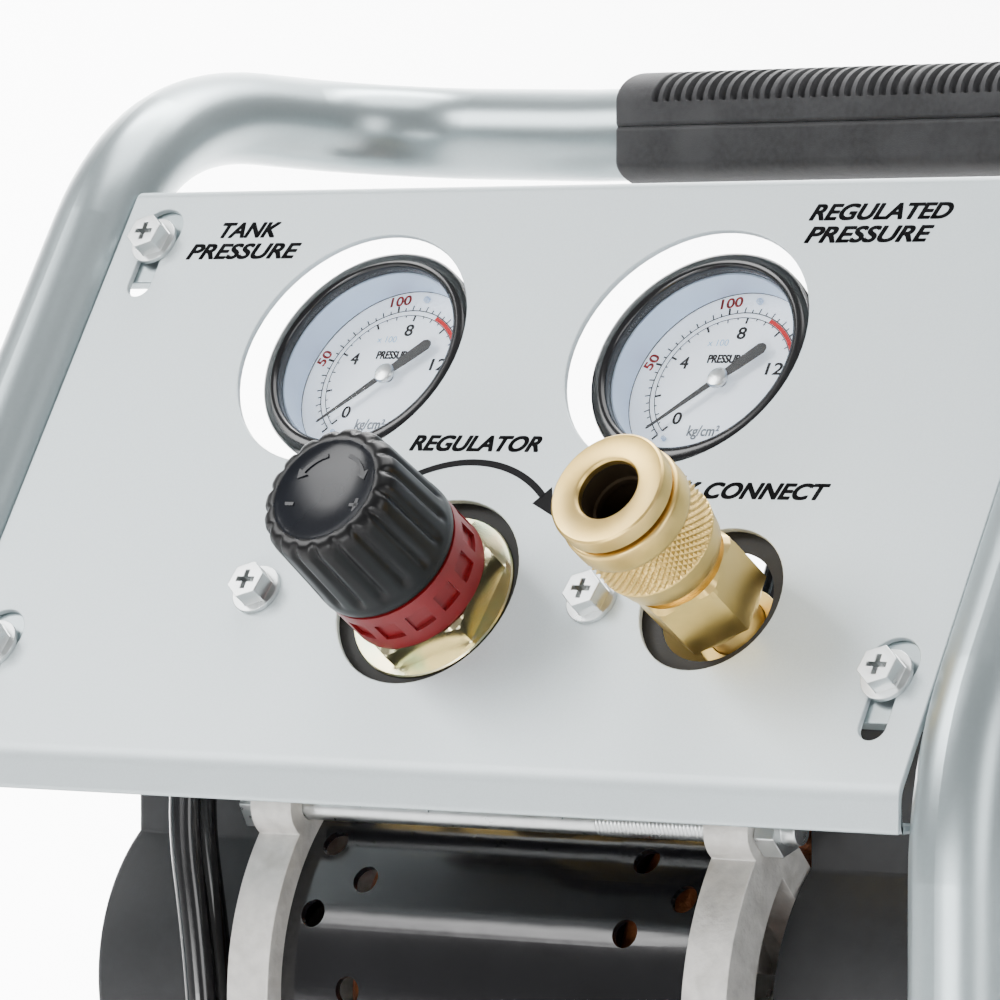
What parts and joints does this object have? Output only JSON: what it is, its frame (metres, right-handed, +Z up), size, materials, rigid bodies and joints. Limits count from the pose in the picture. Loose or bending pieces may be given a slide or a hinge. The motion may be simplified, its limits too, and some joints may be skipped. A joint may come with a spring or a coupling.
{
  "type": "hotdog air compressor",
  "caption": "Portable roll-cage air compressor with a round horizontal tank, an oil-free twin-piston pump, and a sloping panel with two gauges, a regulator and a quick coupler.",
  "frame": {"origin": "on the floor under the middle of the whole object's box", "axes": "+Z up, +X to the operator's right when facing the panel, -Y towards the operator"},
  "size_m": [0.312, 0.3918, 0.4441],
  "materials": {
    "cage_paint": "satin silver-grey powder coat",
    "panel_paint": "fine satin metallic paint",
    "grip_rubber": "moulded dark rubber",
    "foot_rubber": "moulded black rubber",
    "tank_paint": "gloss black enamel",
    "steel_zinc": "bright zinc plate",
    "yellow_zinc": "yellow chromate zinc",
    "deck_paint": "black paint",
    "motor_black": "gloss black enamel",
    "cast_alu": "as cast",
    "lamination": "varnished laminations",
    "copper_wire": "enamelled copper",
    "cover_plastic": "black moulded plastic",
    "black_plastic": "semi-gloss black plastic",
    "red_plastic": "red plastic",
    "dial_white": "printed white dial",
    "needle_black": "black paint",
    "clear_lens": "clear window",
    "brass": "machined brass",
    "hose_black": "smooth black hose",
    "copper_tube": "copper tube"
  },
  "bodies": {
    "frame": {"air_hoses": "hose_black", "base_crossbars": "cage_paint", "bearings": "steel_zinc", "bonnet_nut": "yellow_zinc", "capacitor": "cover_plastic", "check_valve": "brass", "control_panel": "panel_paint", "cord_gland": "cover_plastic", "coupler_body": "brass", "cylinder_heads": "cast_alu", "cylinders": "cast_alu", "delivery_tube": "copper_tube", "drain_valve_body": "brass", "end_brackets": "cast_alu", "fan_cover_left": "cover_plastic", "fan_cover_right": "cover_plastic", "frame_hoop_front": "cage_paint", "gauge_cases": "black_plastic", "gauge_dials": "dial_white", "gauge_lenses": "clear_lens", "handle_grip_lower": "grip_rubber", "handle_grip_upper": "grip_rubber", "head_link_tube": "copper_tube", "lock_ring": "red_plastic", "motor_deck": "deck_paint", "motor_shell": "motor_black", "outlet_manifold": "brass", "panel_screws": "steel_zinc", "panel_tabs": "cage_paint", "pressure_switch_base": "deck_paint", "pressure_switch_cover": "black_plastic", "rear_crossbar": "cage_paint", "rear_loops": "cage_paint", "regulator_body": "brass", "regulator_bracket": "steel_zinc", "rubber_feet": "foot_rubber", "rubber_isolators": "foot_rubber", "safety_valve_body": "brass", "stator_core": "lamination", "stator_windings": "copper_wire", "tank_bungs": "tank_paint", "tank_domes": "tank_paint", "tank_saddles": "tank_paint", "tank_shell": "tank_paint", "tie_bolts": "steel_zinc"},
    "shaft": {"rotor_core": "cast_alu", "motor_shaft": "steel_zinc", "eccentrics": "lamination", "cooling_fans": "cover_plastic"},
    "piston_left": {"piston_left": "cast_alu"},
    "piston_right": {"piston_right": "cast_alu"},
    "regulator_stem": {"adjusting_screw": "steel_zinc"},
    "knob": {"regulator_knob": "black_plastic"},
    "tank_needle": {"gauge_needle_tank": "needle_black"},
    "outlet_needle": {"gauge_needle_outlet": "needle_black"},
    "sleeve": {"coupler_sleeve": "brass"},
    "valve": {"coupler_valve": "brass"},
    "switch": {"switch_lever": "red_plastic"},
    "relief_pull": {"safety_valve_ring": "steel_zinc"},
    "drain": {"drain_lever": "steel_zinc"}
  },
  "joints": [
    {"name": "shaft_spin", "type": "hinge", "parent": "frame", "child": "shaft", "pos_m": [0, -0.082, 0.232], "axis": [1, 0, 0], "continuous": true},
    {"name": "piston_left_stroke", "type": "slide", "parent": "frame", "child": "piston_left", "axis": [0, 0, 1], "range_m": [-0.009, 0]},
    {"name": "piston_right_stroke", "type": "slide", "parent": "frame", "child": "piston_right", "axis": [0, 0, 1], "range_m": [-0.009, 0]},
    {"name": "regulator_turn", "type": "hinge", "parent": "frame", "child": "regulator_stem", "pos_m": [-0.0046, -0.16798, 0.33476], "axis": [0, -0.848, 0.5299], "range_deg": [-540, 540]},
    {"name": "knob_pull", "type": "slide", "parent": "regulator_stem", "child": "knob", "axis": [0, -0.848, 0.5299], "range_m": [0, 0.003]},
    {"name": "tank_needle_turn", "type": "hinge", "parent": "frame", "child": "tank_needle", "pos_m": [-0.0523, -0.10284, 0.37106], "axis": [0, -0.848, 0.5299], "range_deg": [-270, 0], "stiffness_Nm_per_rad": 0.0004, "springref_deg": 17.19},
    {"name": "outlet_needle_turn", "type": "hinge", "parent": "frame", "child": "outlet_needle", "pos_m": [0.039, -0.10337, 0.37022], "axis": [0, -0.848, 0.5299], "range_deg": [-270, 0], "stiffness_Nm_per_rad": 0.0004, "springref_deg": 17.19},
    {"name": "sleeve_pull", "type": "slide", "parent": "frame", "child": "sleeve", "axis": [0, -0.848, 0.5299], "range_m": [-0.0022, 0], "stiffness_N_per_m": 800, "springref_m": 0.003},
    {"name": "valve_push", "type": "slide", "parent": "frame", "child": "valve", "axis": [0, -0.848, 0.5299], "range_m": [-0.004, 0], "stiffness_N_per_m": 400, "springref_m": 0.003},
    {"name": "switch_toggle", "type": "hinge", "parent": "frame", "child": "switch", "pos_m": [0, 0.062, 0.226], "axis": [1, 0, 0], "range_deg": [-44, 0]},
    {"name": "relief_pull_up", "type": "slide", "parent": "frame", "child": "relief_pull", "axis": [0, 0, 1], "range_m": [0, 0.003], "stiffness_N_per_m": 1000, "springref_m": -0.002},
    {"name": "drain_turn", "type": "hinge", "parent": "frame", "child": "drain", "pos_m": [0.035, 0.02, 0.026], "axis": [0, 0, 1], "range_deg": [-90, 0]}
  ]
}
